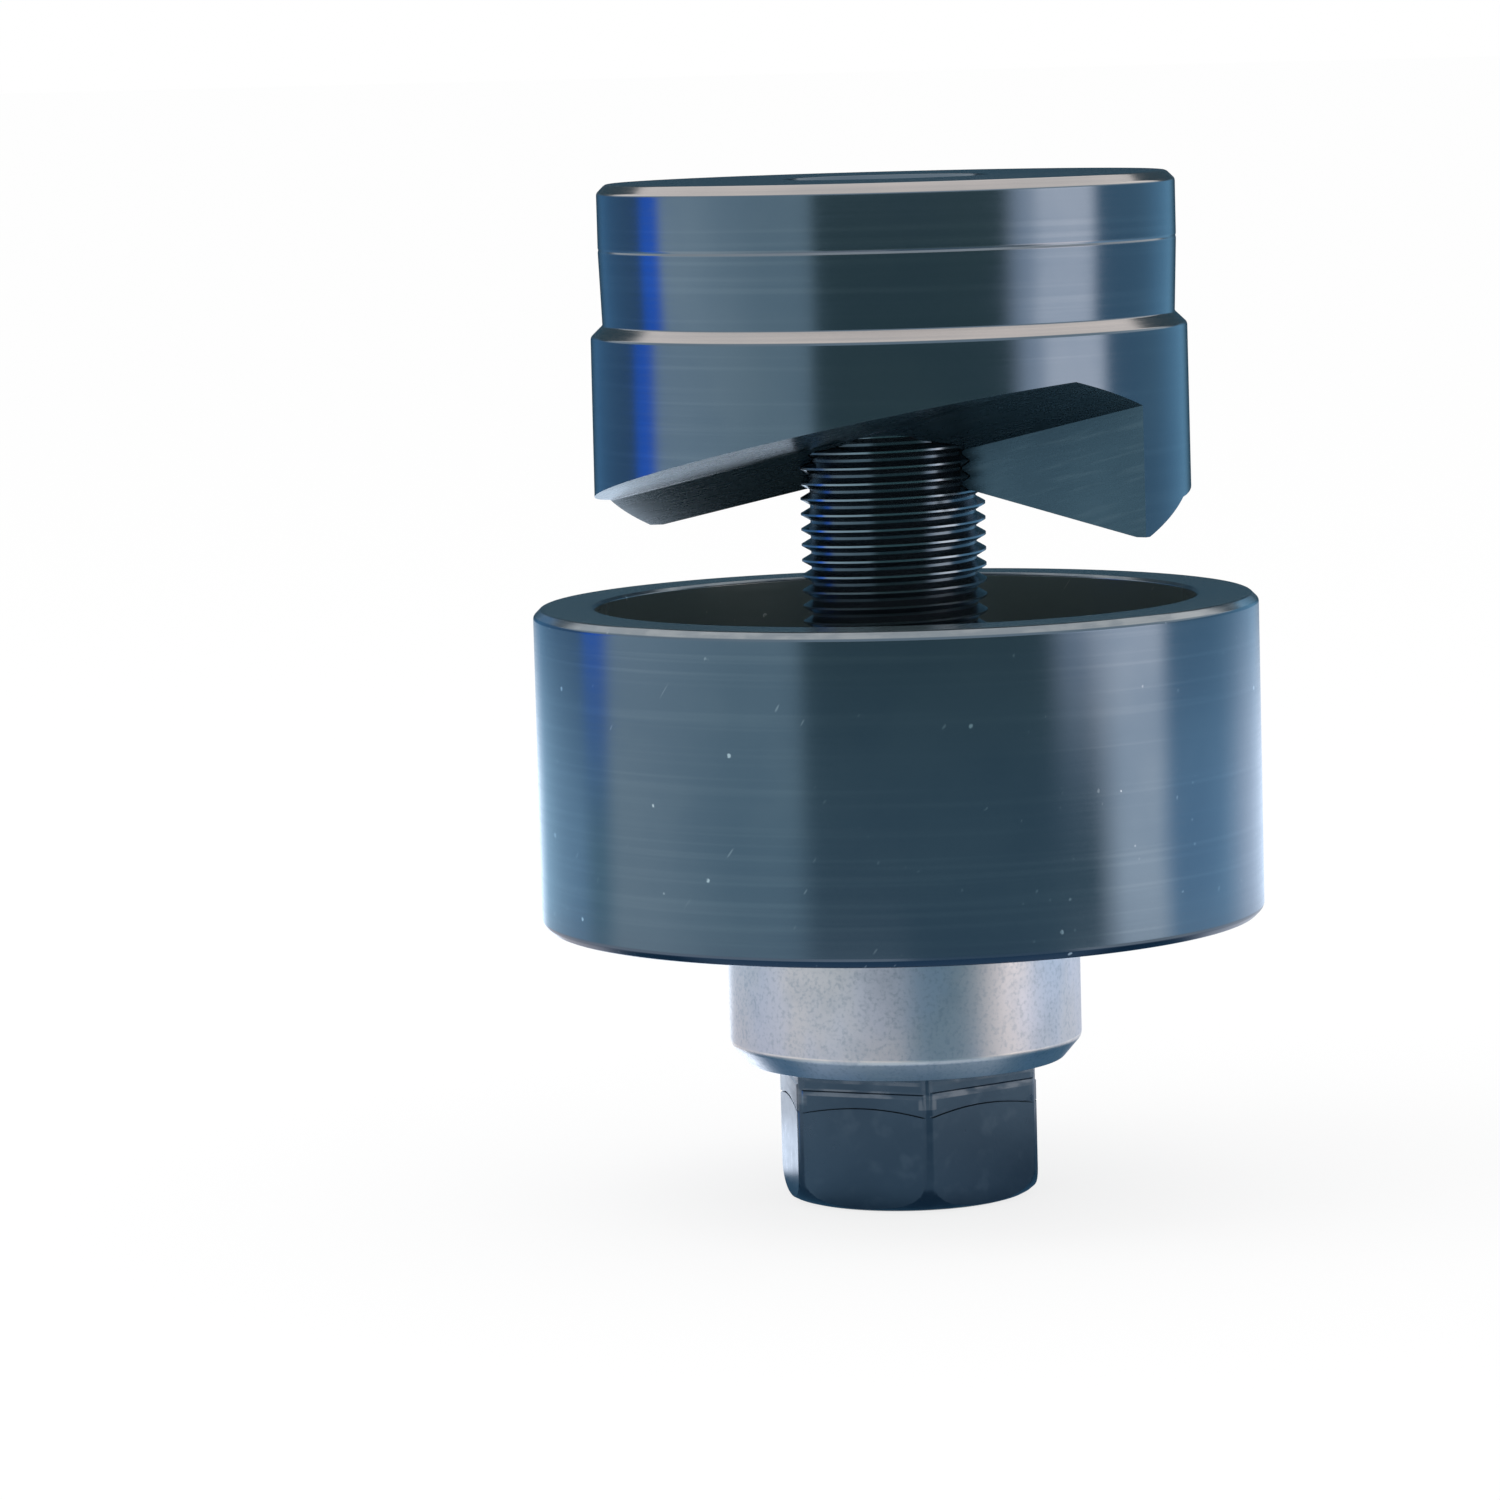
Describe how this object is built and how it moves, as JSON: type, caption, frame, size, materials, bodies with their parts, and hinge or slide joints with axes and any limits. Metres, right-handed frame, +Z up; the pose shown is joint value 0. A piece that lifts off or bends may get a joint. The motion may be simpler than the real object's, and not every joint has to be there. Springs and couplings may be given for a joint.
{
  "type": "knockout punch",
  "caption": "Screw-driven sheet-metal knockout punch: cutting punch with two shear tips, cup-shaped die, threaded draw stud with hex head and ball thrust bearing.",
  "frame": {"origin": "centre of the hex head's flat end, the lowest point of the part", "axes": "+Z up the draw stud towards the punch; the punch is split along the XZ plane, with one cutting tip towards +X and the other towards -X"},
  "size_m": [0.0748, 0.0748, 0.1055],
  "materials": {
    "punch_oxide": "turned steel, satin black oxide with a blue sheen",
    "die_oxide": "turned steel, satin black oxide, worn bright at the cutting edge",
    "stud_oxide": "threaded steel, dark black oxide",
    "band_steel": "rolled bare steel, brushed round",
    "race_steel": "ground bearing steel",
    "ball_steel": "polished bearing steel",
    "cage_steel": "pressed steel",
    "ring_steel": "phosphated spring steel"
  },
  "bodies": {
    "bearing_housing": {"bearing_band": "band_steel", "upper_race": "race_steel"},
    "die": {"die": "die_oxide"},
    "stud": {"draw_stud": "stud_oxide", "lower_race": "race_steel", "retaining_ring": "ring_steel"},
    "cage": {"ball_cage": "cage_steel", "ball_01": "ball_steel", "ball_02": "ball_steel", "ball_03": "ball_steel", "ball_04": "ball_steel", "ball_05": "ball_steel", "ball_06": "ball_steel", "ball_07": "ball_steel", "ball_08": "ball_steel", "ball_09": "ball_steel", "ball_10": "ball_steel", "ball_11": "ball_steel", "ball_12": "ball_steel"},
    "punch": {"punch": "punch_oxide"}
  },
  "joints": [
    {"name": "stud_turn", "type": "hinge", "parent": "bearing_housing", "child": "stud", "pos_m": [0, 0, 0], "axis": [0, 0, 1], "range_deg": [-5443, 5670]},
    {"name": "punch_draw", "type": "slide", "parent": "bearing_housing", "child": "punch", "axis": [0, 0, -1], "range_m": [-0.024, 0.025]},
    {"name": "cage_orbit", "type": "hinge", "parent": "bearing_housing", "child": "cage", "pos_m": [0, 0, 0], "axis": [0, 0, 1], "range_deg": [-2722, 2835]},
    {"name": "die_lift", "type": "slide", "parent": "bearing_housing", "child": "die", "axis": [0, 0, 1], "range_m": [0, 0.004]}
  ],
  "couplings": [
    {"joint": "stud_turn", "follows": "punch_draw", "rad_per_m": 3957.9},
    {"joint": "cage_orbit", "follows": "punch_draw", "rad_per_m": 1979}
  ]
}
